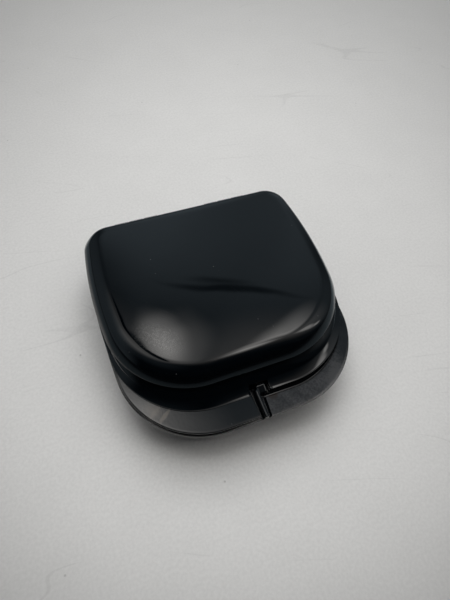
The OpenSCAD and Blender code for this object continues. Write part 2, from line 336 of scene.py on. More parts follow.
def pillow_curve(count=400):
    """The lid's pillow from the panel's edge down to the bead, as shares outwards and of height. It is a
    superellipse quarter until its face has turned to the foot's first turn. The foot goes on with its own
    turns over its own lengths, so that a wide band over the bead faces one way."""
    angle = np.pi / 2 * np.linspace(1, PILLOW_START, count)
    k, rise = np.cos(angle) ** (2 / PILLOW_ROUND), np.sin(angle) ** (2 / PILLOW_FOOT)
    out = PILLOW_IN * k / k.max()
    high = lerp(FOOT_DROP, PILLOW_H, (rise - rise.min()) / (1 - rise.min()))
    facing = np.degrees(np.arctan2(np.diff(out), -np.diff(high)))
    last = np.flatnonzero(facing < FOOT_TURNS[0])[0]
    along = np.linspace(0, FOOT_LENGTHS[-1], count)
    turn = np.radians(np.interp(along, FOOT_LENGTHS, FOOT_TURNS))
    foot = np.cumsum(np.stack([np.sin(turn), -np.cos(turn)], 1), 0) * along[1]
    foot *= (np.array([PILLOW_IN - BEAD_IN, 0]) - (out[last], high[last])) / foot[-1]
    upper = np.stack([out, high], 1)[:last + 1]
    return np.concatenate([upper, upper[-1] + foot]) / (PILLOW_IN, PILLOW_H)


PILLOW_CURVE = pillow_curve()
PILLOW_RUN = run_along(PILLOW_CURVE)
print("the pillow's foot meets the bead at share", PILLOW_CURVE[-1].round(3))


def pillow(t, height):
    """From the bead at t 0 to the panel's edge at t 1 along the pillow's curve, with its dip."""
    k, rise = resampled(PILLOW_CURVE, (1 - t) * PILLOW_RUN[-1], PILLOW_RUN).T
    dip = PILLOW_IN * k * (1 - k) ** 2
    return np.stack([lerp(BEAD_Z, height, rise), -PILLOW_IN * (1 - k), 0 * t, dip], 1)


def inner_waist(t):
    """The wall's inner face behind the waist, up to the neck."""
    return waist(t) - [0, WALL, 0, 0]


def inner_pillow(t, height):
    """The wall's inner face from the neck to the panel."""
    k = np.cos(np.pi / 2 * t) ** (2 / PILLOW_ROUND)
    rise = np.sin(np.pi / 2 * t) ** (2 / PILLOW_ROUND)
    off = lerp(-PILLOW_IN - WALL, -WALL - WAIST_IN, k)
    return np.stack([lerp(BEAD_Z, height, rise), off, 0 * t, PILLOW_IN * k * (1 - k) ** 2], 1)


UP = np.linspace(0, 1, 60)
NECK = np.linspace(0.05, 0.5, 20)
print("profile curves ready, bead at", BEAD_Z, "mm over the joint face")


# %% [markdown]
# ## Making meshes from grids
#
# A shell is a grid of points: rows along the profile and stations round the
# plan. The faces follow from the grid's shape alone, so both are whole numpy
# arrays and no loop visits a vertex. A closing point at each end shuts the
# shell. A bored knuckle closes on itself both ways instead.

# %% Grid helpers
def grid_faces(rows, stations, close_rows=False, close_stations=True):
    """Quads between neighbouring rows and stations, wound so that they face away from the solid."""
    r = np.arange(rows if close_rows else rows - 1)
    s = np.arange(stations if close_stations else stations - 1)
    r, s = (v.ravel() for v in np.meshgrid(r, s, indexing="ij"))
    r2, s2 = (r + 1) % rows, (s + 1) % stations
    return np.stack([r * stations + s, r2 * stations + s, r2 * stations + s2, r * stations + s2], 1)


def fan_faces(tip, ring, outward=True):
    """Triangles from one closing point to a closed ring of vertex numbers."""
    after = np.roll(ring, -1)
    centre = np.full(len(ring), tip)
    return np.stack([centre, ring, after] if outward else [centre, after, ring], 1)


def in_scene(name, data):
    """An object with that data, linked into the scene."""
    thing = bpy.data.objects.new(name, data)
    scene.collection.objects.link(thing)
    return thing


def make_piece(name, points, faces, body, node):
    """A smooth-shaded mesh object in place of a CAD node, from points in millimetres and lists of faces."""
    mesh = bpy.data.meshes.new(name)
    mesh.from_pydata((np.asarray(points) * MM).tolist(), [], [f for group in faces for f in group.tolist()])
    mesh.shade_smooth()
    mesh.validate()
    piece = in_scene(name, mesh)
    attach(piece, body)
    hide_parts(node)
    print(name, "has", len(mesh.vertices), "vertices and", len(mesh.polygons), "faces")
    return piece


def closed_shell(grid, start, end):
    """Points and faces of a shell whose first row closes on start and its last row on end."""
    rows, stations = grid.shape[:2]
    points = np.concatenate([grid.reshape(-1, 3), [start, end]])
    count = rows * stations
    first_ring = np.arange(stations)
    last_ring = first_ring + count - stations
    faces = [
        grid_faces(rows, stations),
        fan_faces(count, first_ring),
        fan_faces(count + 1, last_ring, outward=False),
    ]
    return points, faces


# %% The panels and walls of a half
CROWN_RINGS, FLAT_RINGS = 30, 9


def panel_grid(edge_off, z, fit=None):
    """Rings from near the middle to the panel's edge, flat at height z or with the crown's film on it."""
    rings = FLAT_RINGS if fit is None else CROWN_RINGS
    k = np.linspace(0, 1, rings + 1)[1:-1, None]
    x, y = plan_points(edge_off, 0.0)
    x, y = x * k, lerp(CASE_D / 2, y, k)
    return np.stack([x, y, z + film_height(x, y, fit)], 2)


def panel_middle(z, fit=None):
    """The panel's point at the centre of its rings."""
    return [0, CASE_D / 2 + CASE_Y, z + float(film_height(0.0, np.float64(CASE_D / 2), fit))]


def carried(rows, z0, up):
    """A profile carried round the plan: height, offset and pull of each row, with the dip taken off."""
    x, y = plan_points(rows[:, 1], rows[:, 2])
    drop = rows[:, 3:4] * CROWN_SLOPE[None]
    return np.stack([x, y, z0 + up * (rows[:, 0:1] - drop)], 2)


def half_shell(name, first, walls, last, body, node):
    """A half's skin: its first panel from the middle outwards, its walls, and its last panel back in."""
    grid = np.concatenate([panel_grid(*first), walls, panel_grid(*last)[::-1]])
    grid[..., 1] += CASE_Y
    points, faces = closed_shell(grid, panel_middle(*first[1:]), panel_middle(*last[1:]))
    return make_piece(name, points, faces, body, node)


# %% [markdown]
# ## The lid
#
# The lid's skin runs from the middle of the crown outwards, over the pillow,
# the bead and the waist to the band and the rim, round the rim's foot, up the
# inner face and back to the middle. At the key the rim has a notch: there the
# skin's lower rows move up onto the notch's flat roof, over a tenth of a
# millimetre on each side, which gives the notch its upright walls.

# %% The lid's shell
def lid_profile():
    """The lid's profile from the panel's edge outside to the panel's edge inside."""
    outer = np.concatenate([pillow(UP[::-1], PANEL_Z), waist(UP[::-1])[1:], flare(UP)[1:]])
    rim = np.array([
        [RIM_T, -FLARE_IN, FLARE_FWD, 0],
        [RIM_FOOT, -FLARE_IN, FLARE_FWD, 0],
        [RIM_FOOT, -WALL, RIM_FWD, 0],
        [LIP_H, -WALL, RIM_FWD, 0],
    ])
    inner = np.concatenate([inner_waist(NECK), inner_pillow(UP, PANEL_Z - WALL)[1:]])
    return thinned(walked(np.concatenate([outer, rim, inner])))


def notched(grid, rows):
    """The lid's grid with the notch: the rows below its roof slide up onto the roof."""
    low = np.flatnonzero(rows[:, 0] < NOTCH_ROOF)
    first, last = low[0] - 1, low[-1] + 1
    share = np.linspace(0, 1, last - first + 1)[:, None, None]
    roof = lerp(grid[first][None], grid[last][None], share)
    roof[..., 2] = np.maximum(LID_Z + NOTCH_ROOF, roof[..., 2])
    weight = (within(PLAN[:, 0], -SLOT_RIM, NOTCH_RIGHT) * AT_FRONT)[None, :, None]
    grid[first:last + 1] = lerp(grid[first:last + 1], roof, weight)
    return grid


lid_rows = lid_profile()
lid_walls = notched(carried(lid_rows, LID_Z, 1), lid_rows)
crown = -PILLOW_IN, LID_Z + PANEL_Z, CROWN_FIT
ceiling = -PILLOW_IN - WALL, LID_Z + PANEL_Z - WALL, INNER_FIT
lid_shell = half_shell("lid_shell", crown, lid_walls, ceiling, "lid_half", "lid")

# %% [markdown]
# ## The lid's thumb ledge
#
# On the lid's own side of the front a flat plate reaches out from the rim to
# the front edge, where a thumb pushes it up. Its cross-section is a slim
# rectangle with rounded outer corners. The plate is that section carried from
# the slot's edge round the left corner, and it tapers to nothing along the
# side, where the pull fades.

# %% The ledge as a plate along the left half
LEDGE_EDGE_R = 0.22
LEDGE_ACROSS, LEDGE_ROUND, LEDGE_STOP = 14, 5, 47


def plate_section(thick, edge):
    """The section's loop as share across, inset from the outer edge, and height: out along the top, round
    the outer edge and back along the bottom."""
    across = np.linspace(0, 1, LEDGE_ACROSS)
    turn = np.linspace(0, np.pi / 2, LEDGE_ROUND)
    top = np.stack([across, 0 * across + edge, 0 * across + thick], 1)
    high = np.stack([0 * turn + 1, edge * (1 - np.sin(turn)), thick - edge * (1 - np.cos(turn))], 1)
    low = high[::-1] * [1, 1, -1] + [0, 0, thick]
    bottom = top[::-1] * [1, 1, 0]
    return np.concatenate([top, high[1:], low, bottom[1:]])


def past_rim(y):
    """The share of the way from the rim, where it is 0, to the ledges' front edge, where it is 1."""
    return np.clip((-RIM_FWD - y) / (LEDGE_FWD - RIM_FWD), 0, 1)


def ledge_grid():
    """The plate's points by station and section point, with the slot's end face rounded in."""
    left = np.arange(len(PLAN) - 1, HALF_COUNT + LEDGE_STOP, -1)
    flat = PLAN[left, 2] > -NEAR_ZERO
    inner = np.stack(plan_points(-WALL / 2, RIM_FWD, stations=left), 1)
    outer = np.stack(plan_points(-LEDGE_SHORT, LEDGE_FWD, LEDGE_PINCH, stations=left), 1)
    normal = OUTWARD[left]
    start = np.abs(PLAN[left[0], 0])
    turn = np.linspace(0, np.pi / 2, LEDGE_ROUND)
    whole = np.ones(len(left))
    depth, shrink = (LEDGE_EDGE_R * (1 - np.append(v, whole)) for v in (np.cos(turn), np.sin(turn)))
    inner, outer, normal, flat = (
        np.concatenate([np.repeat(v[:1], LEDGE_ROUND, 0), v]) for v in (inner, outer, normal, flat)
    )
    section = plate_section(LID_LEDGE_T, LEDGE_EDGE_R)
    q, inset, z = (section[:, i][:, None] for i in range(3))
    xy = lerp(inner[None], outer[None], q[..., None]) - inset[..., None] * normal[None]
    share = np.clip((np.abs(xy[..., 0]) - start) / (FRONT_HALF - start), 0, 1)
    edge = lerp(SLOT_RIM, SLOT_FRONT, past_rim(xy[..., 1])) + LEDGE_EDGE_R
    slanted = -lerp(edge, FRONT_HALF, share)
    end = np.arange(len(flat)) < LEDGE_ROUND
    slanted = np.where(end[None], -(edge - LEDGE_EDGE_R + depth[None]), slanted)
    x = np.where(flat[None] | end[None], slanted, xy[..., 0])
    height = np.clip(z, shrink[None], LID_LEDGE_T - shrink[None])
    return np.stack([x, xy[..., 1] + CASE_Y, LID_Z + height], 2).swapaxes(0, 1)


ledge = ledge_grid()
ledge_points, ledge_faces = closed_shell(ledge, ledge[0].mean(0), ledge[-1].mean(0))
lid_ledge = make_piece("lid_ledge", ledge_points, ledge_faces, "lid_half", "lid")

# %% [markdown]
# ## The base
#
# The base's skin starts at the middle of the tray's floor, climbs the inner
# wall, goes over the locating lip, out along the flange and round its edge,
# then down the waist and the pillow to the flat foot. What stands on the
# flange in the slot is added as a height over the plan: two grooves, the rib
# between them, and the sloped key at the rib's inner end. A narrow channel
# follows the lid's rim along the right ledge, and draws the dark line there.

# %% Heights that stand on the base's flange
GROOVE_END, GROOVE_POWER = -3.2, 0.8
MOAT_FROM, MOAT_TO, MOAT_D, MOAT_FADE = 5.5, 6.95, 1.15, 3.0
BASE_COARSE, BASE_TURN, EDGE_ROWS = 1.1, math.radians(8), 7
FLANGE_FADE, PINCH_RUN, OFF_FRONT, LEVEL_WITHIN = 1.6, 2.0, 99.0, 0.01


def groove(x, edge, end):
    """A valley between two places: 0 at both and 1 halfway, with straight steep sides."""
    return np.clip(1 - np.abs(2 * (x - edge) / (end - edge) - 1), 0, 1) ** GROOVE_POWER


def front_relief(x, y):
    """Height over the flange: the valleys beside the rib and the key, the rib, and the key's slope."""
    rib = within(x, -RIB_T / 2, RIB_T / 2)
    valleys = groove(x, -SLOT_RIM, -RIB_T / 2) + groove(x, RIB_T / 2, SLOT_RIM)
    gap = groove(x, KEY_RIGHT, NOTCH_RIGHT) * within(y, -FLARE_FWD, GROOVE_END)
    floor = -GROOVE_D * np.maximum(valleys * (1 - step_up(y, GROOVE_END)), gap)
    rib_long = rib * (1 - step_up(y, KEY_BACK - RIB_T))
    key = within(x, 0, KEY_RIGHT) * within(y, -FLARE_FWD, KEY_BACK)
    key_top = lerp(KEY_H, KEY_H + KEY_RISE, (y + FLARE_FWD) / KEY_D)
    floor = lerp(floor, np.maximum(key_top, floor), key)
    return lerp(floor, np.maximum(RIB_H, floor), rib_long)


def moat(reach):
    """Depth of the channel along the lid's rim on the right ledge. Its floor slopes down and forward from
    under the rim to an upright wall at the ledge."""
    across = np.clip((reach - MOAT_FROM) / (MOAT_TO - MOAT_FROM), 0, 1) * (1 - step_up(reach, MOAT_TO))
    return MOAT_D * across * (step_up(PLAN[:, 0], RIB_T / 2) * smooth(MOAT_FADE * pull_at(PLAN[:, 1])))[None]


# %% The base's shell
def base_profile():
    """The base's profile from the floor's edge to the foot's edge, with heights down from the joint."""
    lip_out = -WALL - LIP_GAP
    inside = np.concatenate([inner_pillow(UP[::-1], BASE_H - WALL), inner_waist(NECK[::-1])[1:]])
    joint = np.array([
        [0, lip_out - LIP_T, RIM_FWD, 0],
        [-LIP_H, lip_out - LIP_T, RIM_FWD, 0],
        [-LIP_H, lip_out, RIM_FWD, 0],
        [0, lip_out, RIM_FWD, 0],
        [0, 0, LEDGE_FWD, 0],
        [FLANGE_T, 0, LEDGE_FWD, 0],
        [FLANGE_T, -RIM_EDGE, RIM_FWD, 0],
    ])
    outer = np.concatenate([waist(UP), pillow(UP, BASE_H)[1:]])
    fine = walked(np.concatenate([inside, joint, outer]))
    level = np.abs(fine[:, 0]) < LEVEL_WITHIN
    on_top = np.flatnonzero(level & (fine[:, 2] >= RIM_FWD) & (fine[:, 1] > lip_out))
    y_front = -fine[on_top, 2] - fine[on_top, 1]
    edges = np.array([-MOAT_TO, -FLARE_FWD, -MOAT_FROM, KEY_BACK - RIB_T, KEY_BACK, GROOVE_END])
    wanted = (edges[:, None] + np.linspace(-WALL_RUN, WALL_RUN, EDGE_ROWS)[None]).ravel()
    extra = np.interp(-wanted, -y_front, on_top.astype(float))
    return thinned(fine, BASE_COARSE, BASE_TURN, extra)


base_rows = base_profile()
base_walls = carried(base_rows * [1, 1, 1, 0], BASE_H, -1)
down, off, fwd = (base_rows[:, i:i + 1] for i in range(3))
x, y = plan_points(off[:, 0], fwd[:, 0], LEDGE_PINCH * smooth((fwd[:, 0] - RIM_FWD) / PINCH_RUN))
half_x = np.abs(x)
turns = [0, RIB_T / 2 + WALL_RUN]
slanted_x = np.interp(half_x, [*turns, SLOT_RIM, FRONT_HALF], [*turns, SLOT_FRONT, FRONT_HALF])
base_walls[..., 0] = np.where(AT_FRONT, np.sign(x) * lerp(half_x, slanted_x, past_rim(y)), x)
relief = front_relief(np.where(AT_FRONT, x, OFF_FRONT), y)
relief = np.where(relief > LEVEL_WITHIN, relief, np.minimum(relief, -moat(off + fwd)))
on_flange = np.clip(FLANGE_FADE * (1 - down / FLANGE_T), 0, 1) * (fwd >= RIM_FWD - NEAR_ZERO)
on_flange *= off > -WALL - LIP_GAP - LIP_T
at_notch = within(x, -SLOT_RIM, NOTCH_RIGHT) * AT_FRONT
base_walls[..., 2] += relief * on_flange - np.maximum(-down, 0) * at_notch
floor, foot = (-PILLOW_IN - WALL, WALL), (-PILLOW_IN, 0)
base_shell = half_shell("base_shell", floor, base_walls, foot, "base_half", "base")

# %% [markdown]
# ## The nub and the knuckles
#
# Under the front end of the rib a small round nub bulges out. At the back
# each hinge is a row of three knuckles: the base's two hold the pin and the
# lid's turns between them. A knuckle is a barrel with an arm that bites into
# the wall, so its outline is carried along the pin and its bore closes it.

# %% The nub
def ball(centre, r, rows=14, stations=28):
    """A sphere as rings of latitude with a closing point at each pole."""
    lat = np.linspace(0, np.pi, rows + 2)[1:-1, None]
    lon = np.linspace(0, 2 * np.pi, stations, endpoint=False)[None]
    grid = np.stack([np.sin(lat) * np.cos(lon), np.sin(lat) * np.sin(lon), np.cos(lat) + 0 * lon], 2)
    poles = np.array([[0, 0, 1], [0, 0, -1]])
    points, faces = closed_shell(grid, *poles)
    return np.asarray(centre) + r * points, faces


nub_points, nub_faces = ball([0, -LEDGE_FWD + NUB_R + CASE_Y, BASE_H - FLANGE_T], NUB_R)
nub = make_piece("base_nub", nub_points, nub_faces, "base_half", "base")

# %% The knuckles
HINGE_OUT = KNUCKLE_R + HINGE_GAP
KNUCKLE_POINTS, KNUCKLE_FINE, BARREL_STEPS = 72, 8, 90
KNUCKLE_CHAMFER = 0.15


def knuckle_outline(up):
    """The barrel and its arm as one loop of y and z about the pin, averaged along it."""
    flat = PARTING_GAP / 2
    reach = HINGE_OUT + WALL - RIM_EDGE
    start = math.asin(flat / KNUCKLE_R)
    h = np.linspace(-np.pi - start, np.pi / 2, BARREL_STEPS)
    barrel = np.stack([KNUCKLE_R * np.cos(h), KNUCKLE_R * np.sin(h)], 1)
    arm = np.array([[-reach, KNUCKLE_R], [-reach, flat]])
    loop = np.concatenate([barrel, arm, barrel[:1]])
    run = run_along(loop)
    fine = resampled(loop, np.linspace(0, run[-1], KNUCKLE_POINTS * KNUCKLE_FINE, endpoint=False), run)
    wide = np.concatenate([fine[-KNUCKLE_FINE // 2:], fine, fine[:KNUCKLE_FINE // 2]])
    return averaged(wide, np.ones(KNUCKLE_FINE + 1))[::KNUCKLE_FINE] * [1, up]


def knuckle(x, up, bore_r):
    """Points and faces of one knuckle: its outline with a chamfer at both ends, closed through the bore."""
    outline = knuckle_outline(up)
    away = outline / np.linalg.norm(outline, axis=1)[:, None]
    cut = away * KNUCKLE_CHAMFER
    bore = away * bore_r
    half, full = KNUCKLE_W / 2, KNUCKLE_W / 2 - KNUCKLE_CHAMFER
    rings = np.stack([outline - cut, outline, outline, outline - cut, bore + cut, bore, bore, bore + cut])
    along = x + np.array([-half, -full, full, half, half, full, -full, -half])
    y, z = rings[..., 0] + HINGE_Y + CASE_Y, rings[..., 1] + HINGE_Z
    faces = grid_faces(len(rings), KNUCKLE_POINTS, close_rows=True)
    return np.stack([along[:, None] + 0 * y, y, z], 2).reshape(-1, 3), faces if up < 0 else faces[:, ::-1]


def knuckle_row(name, places, up, bore_r, body, node):
    """Several knuckles as one piece of a half."""
    points, faces, first = [], [], 0
    for x in places:
        p, f = knuckle(x, up, bore_r)
        points.append(p)
        faces.append(f + first)
        first += len(p)
    return make_piece(name, np.concatenate(points), faces, body, node)


STEP = KNUCKLE_W + KNUCKLE_GAP
base_places = [side * HINGE_X + k * STEP for side in (-1, 1) for k in (-1, 1)]
base_knuckles = knuckle_row("base_knuckles", base_places, -1, PIN_R + HOLD_FIT, "base_half", "base")
lid_knuckles = knuckle_row("lid_knuckles", [-HINGE_X, HINGE_X], 1, PIN_R + TURN_FIT, "lid_half", "lid")

# %% [markdown]
# ## Black plastic
#
# The case is injection moulded in black plastic with a polished mould, so it
# mirrors the room sharply. Use has left its marks: a thin haze, fine straight
# scratches, grainy rubbed places at the crown's front corner and on the base's
# ledge, nicks along an edge and a few specks of dust. The grey of the rubbed
# places is partly painted light: a painted sparkle where the lamp's highlight
# falls on the crown, and a painted sheen of the room's light on the base's
# ledge. The warm streaks on the lid's ledge are painted reflections of the
# room's light. The clear coat keeps the mirror and the layer below it the marks.
# Each mark is a mask: a place in millimetres, times a noise that is cut off
# between the two levels after it. The masks mix tints into the colour, add to
# the roughness and drive the bumps.

# %% Shader helpers
ANY_HEIGHT = 1000
VECTORS = "ShaderNodeVectorMath"


def new_material(name):
    """A material whose tree holds only its shader and its output, and that shader."""
    material = bpy.data.materials.new(name)
    material.use_nodes = True
    tree = material.node_tree
    tree.nodes.clear()
    shader = tree.nodes.new("ShaderNodeBsdfPrincipled")
    output = tree.nodes.new("ShaderNodeOutputMaterial")
    tree.links.new(shader.outputs["BSDF"], output.inputs["Surface"])
    return material, shader


def add(at, kind, values=None, **links):
    """A node in the tree that holds at, with its settings, its inputs' values and its inputs' links."""
    tree = at.id_data
    node = tree.nodes.new(kind)
    for key, value in (values or {}).items():
        if key in node.inputs:
            node.inputs[key].default_value = value
        else:
            setattr(node, key, value)
    for key, source in links.items():
        tree.links.new(source, node.inputs[key.replace("_", " ")])
    return node


def fill(socket, value):
    """A number or a colour set on a socket, or another socket linked to it."""
    if isinstance(value, bpy.types.NodeSocket):
        socket.id_data.links.new(value, socket)
    else:
        socket.default_value = value


def joined(operation, *values, kind="ShaderNodeMath"):
    """A sum, a product or the like of several sockets or constants, from left to right."""
    socket = next(value for value in values if isinstance(value, bpy.types.NodeSocket))
    total = values[0]
    for value in values[1:]:
        node = add(socket, kind, {"operation": operation})
        fill(node.inputs[0], total)
        fill(node.inputs[1], value)
        total = node.outputs[0]
    return total


def times(*values):
    """The product of several sockets or numbers."""
    return joined("MULTIPLY", *values)


def mapped(vector, **values):
    """A vector moved, turned or multiplied."""
    return add(vector, "ShaderNodeMapping", values, Vector=vector).outputs["Vector"]


def object_mm(shader):
    """The place on the object in millimetres."""
    return mapped(add(shader, "ShaderNodeTexCoord").outputs["Object"], Scale=(1 / MM,) * 3)


def xyz(vector):
    """The three parts of a vector."""
    split = add(vector, "ShaderNodeSeparateXYZ", Vector=vector)
    return [split.outputs[axis] for axis in "XYZ"]


def ramp(value, low, high, start=0.0, end=1.0):
    """A value that goes smoothly from start to end while the source goes from low to high."""
    ends = {"From Min": low, "From Max": high, "To Min": start, "To Max": end}
    node = add(value, "ShaderNodeMapRange", ends, Value=value)
    node.interpolation_type = "SMOOTHSTEP"
    return node.outputs["Result"]


def ellipse(vector, patch):
    """A soft ellipse on the x and y of a vector: its strength in the core, falling to 0 at the edge. The
    patch holds centre, half axes, turn, core and strength."""
    x, y, half_x, half_y, turn, core, strength = patch
    place = {"Location": (x, y, 0), "Rotation": (0, 0, turn), "Scale": (half_x, half_y, ANY_HEIGHT)}
    inside = mapped(vector, vector_type="TEXTURE", **place)
    far = add(inside, VECTORS, {"operation": "LENGTH"}, Vector=inside)
    return ramp(far.outputs["Value"], core, 1.0, strength, 0.0)


def mottle(vector, scale, detail=4.0, turn=0.0):
    """Noise from 0 to 1 with so many blots in a millimetre along x, y and z, turned about z."""
    scale = scale if isinstance(scale, tuple) else (scale,) * 3
    sized = mapped(mapped(vector, Rotation=(0, 0, turn)), Scale=scale)
    return add(sized, "ShaderNodeTexNoise", {"Scale": 1.0, "Detail": detail}, Vector=sized).outputs["Fac"]


def tinted(base, tint, share):
    """A colour with a share of a tint mixed in."""
    mix = add(share, "ShaderNodeMix", {"data_type": "RGBA"})
    fill(mix.inputs[0], share)
    fill(mix.inputs[6], base)
    fill(mix.inputs[7], tint)
    return mix.outputs[2]


def bumped(height, depth, under=None):
    """A normal tilted by a height field that is depth millimetres deep, over another normal."""
    node = add(height, "ShaderNodeBump", {"Distance": depth * MM}, Height=height)
    if under is not None:
        fill(node.inputs["Normal"], under)
    return node.outputs["Normal"]


# %% Places of the marks and of the painted light, in millimetres
# The crown's rubbed corner lies under the lamp's highlight; its grain is rubbing with a painted sparkle of
# that highlight.
CROWN_RUB_AND_HIGHLIGHT_PLACE = (-23.4, -11.9, 10.6, 5.8, -0.75, 0.0, 1.2)
# The base's ledge is rubbed, and its grey there is also a painted sheen of the room's light, strongest at
# this place.
LEDGE_RUB_AND_SHEEN_PLACE = (25.5, -36.0, 6.0, 3.4, 0.75, 0.1, 1.1)
KEY_SCUFF = (4.4, -35.7, 1.9, 1.5, 0.0, 0.55, 1.0)
# Painted warm reflections of the room's light on the lid's ledge, as soft patches.
PAINTED_WARM_REFLECTIONS = (
    (-30.9, -28.9, 3.0, 4.6, 0.75, 0.1, 0.62),
    (-30.6, -29.6, 3.2, 1.2, 0.63, 0.1, 0.9),
    (-28.2, -31.5, 3.4, 0.9, 0.63, 0.2, 1.25),
)
LEDGES_FROM_Z, LEDGES_TO_Z = (12.7, 12.95), (14.62, 14.75)
BASE_LEDGE_TO_Z, LID_LEDGE_FROM_Z, CROWN_FROM_Z = (13.1, 13.4), (13.6, 14.0), (20.0, 22.0)
RIGHT_FROM_X, RUB_AND_SHEEN_FADES_X, FRONT_EDGE_Y = (0.0, 1.5), (27.5, 33.0), (-41.0, -39.9)
FACES_UP = (0.0, 0.3)
SCRATCH_TURNS = {0.8: 0.0, 1.0: 40.0}
SPECK_R, SPECK_LUCK = (0.02, 0.06), (0.72, 0.80)

# %% Tints, painted light among them, and depths of the bumps in millimetres
PLASTIC_BLACK = (0.0006, 0.0014, 0.0024, 1)
# Grey of rubbing and scratches; on the base's ledge it also paints a sheen of the room's light.
RUB_AND_SHEEN_GREY = (0.045, 0.045, 0.047, 1)
# Grey of the crown's grain: rubbing, and a painted sparkle of the lamp's highlight.
GRAIN_AND_SPARKLE_GREY = (0.062, 0.062, 0.062, 1)
SCUFF_BROWN = (0.020, 0.014, 0.011, 1)
# The warm tint of the reflections painted on the lid's ledge.
WARM_REFLECTION_TINT = (0.068, 0.058, 0.048, 1)
NICK_GREY = (0.045, 0.044, 0.042, 1)
DUST_GREY = (0.08, 0.08, 0.08, 1)
WAVES_DEEP, RUB_DEEP, SCRATCHES_DEEP, NICKS_DEEP = 0.13, 0.006, 0.0006, 0.006


# %% Scratches and dust
def scratches(mm, turn, shift):
    """Fine straight lines at one angle: the peaks of a noise that is stretched along them."""
    shifted = mapped(mm, Location=(shift, 0, 0))
    return ramp(mottle(shifted, (0.035, 2.2, 0.2), 1.0, turn), 0.62, 0.74)


def dust(mm):
    """Sparse round specks: spots in the middles of a few of many random cells."""
    cells = add(mm, "ShaderNodeTexVoronoi", {"Scale": 0.28}, Vector=mm)
    luck = add(mm, "ShaderNodeSeparateColor", Color=cells.outputs["Color"]).outputs["Red"]
    spots = ramp(cells.outputs["Distance"], *SPECK_R, 1.0, 0.0)
    return times(spots, ramp(luck, *SPECK_LUCK))


# %% The case's plastic
def case_plastic():
    """Black plastic with a haze, rubbed places, scratches, nicks and dust, and painted light: a sparkle and a
    sheen in the rubbed grey, and warm reflections.
    """
    material, shader = new_material("case_plastic")
    mm = object_mm(shader)
    x, y, z = xyz(mm)
    up = xyz(add(shader, "ShaderNodeTexCoord").outputs["Normal"])[2]

    ledges = times(ramp(z, *LEDGES_FROM_Z), ramp(z, *LEDGES_TO_Z, 1.0, 0.0))
    right_ledge = times(ledges, ramp(z, *BASE_LEDGE_TO_Z, 1.0, 0.0), ramp(x, *RIGHT_FROM_X))
    thumb_ledge = times(ledges, ramp(z, *LID_LEDGE_FROM_Z))
    on_crown = times(ramp(z, *CROWN_FROM_Z), ramp(up, *FACES_UP))

    fine = mottle(mm, 1.6, 6.0)
    strokes = mottle(mm, (0.16, 0.45, 0.3), 6.0, 0.9)
    # At the crown's front corner: rubbing, whose grey grain also paints the sparkle of the lamp's highlight
    # there.
    crown_rub_and_highlight = times(ellipse(mm, CROWN_RUB_AND_HIGHLIGHT_PLACE), on_crown)
    grain = times(crown_rub_and_highlight, ramp(fine, 0.42, 0.68))
    # On the base's ledge: rubbing, whose grey is also a painted sheen of the room's light.
    rub_and_sheen = joined("ADD", ramp(strokes, 0.25, 0.75, 0.6, 1.3), ellipse(mm, LEDGE_RUB_AND_SHEEN_PLACE))
    rub_and_sheen_shares = ramp(x, *RUB_AND_SHEEN_FADES_X, 1.0, 0.2), ramp(fine, 0.35, 0.65, 0.72, 1.28)
    ledge_rub_and_sheen = times(rub_and_sheen, right_ledge, *rub_and_sheen_shares)
    lines = joined("MAXIMUM", *(scratches(mm, *s) for s in SCRATCH_TURNS.items()))
    lines = times(lines, ramp(mottle(mm, 0.11), 0.42, 0.62))
    front_edge = times(ramp(y, *FRONT_EDGE_Y, 1.0, 0.0), right_ledge)
    nicks = times(front_edge, ramp(mottle(mm, (0.9, 2.6, 0.5), 2.0, -0.3), 0.56, 0.66))
    specks = dust(mm)

    haze = ramp(mottle(mm, 0.12, 6.0), 0.3, 0.75, 0.03, 0.06)
    rough_marks = times(grain, 0.05), times(ledge_rub_and_sheen, 0.06)
    rough_bits = times(joined("MAXIMUM", nicks, specks), 0.3)
    fill(shader.inputs["Roughness"], joined("ADD", haze, *rough_marks, rough_bits))

    colour = PLASTIC_BLACK
    for tint, share in (
        # rubbing with a painted sheen of the room's light, on the base's ledge
        (RUB_AND_SHEEN_GREY, times(ledge_rub_and_sheen, 0.68)),
        # rubbed grain with a painted sparkle of the lamp's highlight, at the crown's corner
        (GRAIN_AND_SPARKLE_GREY, times(grain, 0.9)),
        (RUB_AND_SHEEN_GREY, times(lines, ramp(right_ledge, 0.0, 1.0, 0.03, 0.45))),
        (SCUFF_BROWN, times(ellipse(mm, KEY_SCUFF), right_ledge, 0.8)),
        # painted warm reflections of the room's light on the lid's ledge
        *((WARM_REFLECTION_TINT, times(ellipse(mm, warm_glare), thumb_ledge)) for warm_glare in PAINTED_WARM_REFLECTIONS),
        (NICK_GREY, nicks),
        (DUST_GREY, specks),
    ):
        colour = tinted(colour, tint, share)
    fill(shader.inputs["Base Color"], colour)

    worn = joined("ADD", times(crown_rub_and_highlight, 0.3), ledges)
    normal = None
    for height, depth in (
        (mottle(mm, (0.06, 0.09, 0.06), 0.6), WAVES_DEEP),
        (times(worn, fine), RUB_DEEP),
        (lines, SCRATCHES_DEEP),
        (times(nicks, fine), NICKS_DEEP),
    ):
        normal = bumped(height, depth, normal)
    fill(shader.inputs["Normal"], normal)
    shader.inputs["IOR"].default_value = 1.4
    shader.inputs["Coat Weight"].default_value = 0.3
    shader.inputs["Coat Roughness"].default_value = 0.03
    return material


plastic = case_plastic()
for piece in (lid_shell, lid_ledge, base_shell, nub, base_knuckles, lid_knuckles):
    piece.data.materials.append(plastic)
print("the plastic has", len(plastic.node_tree.nodes), "nodes")


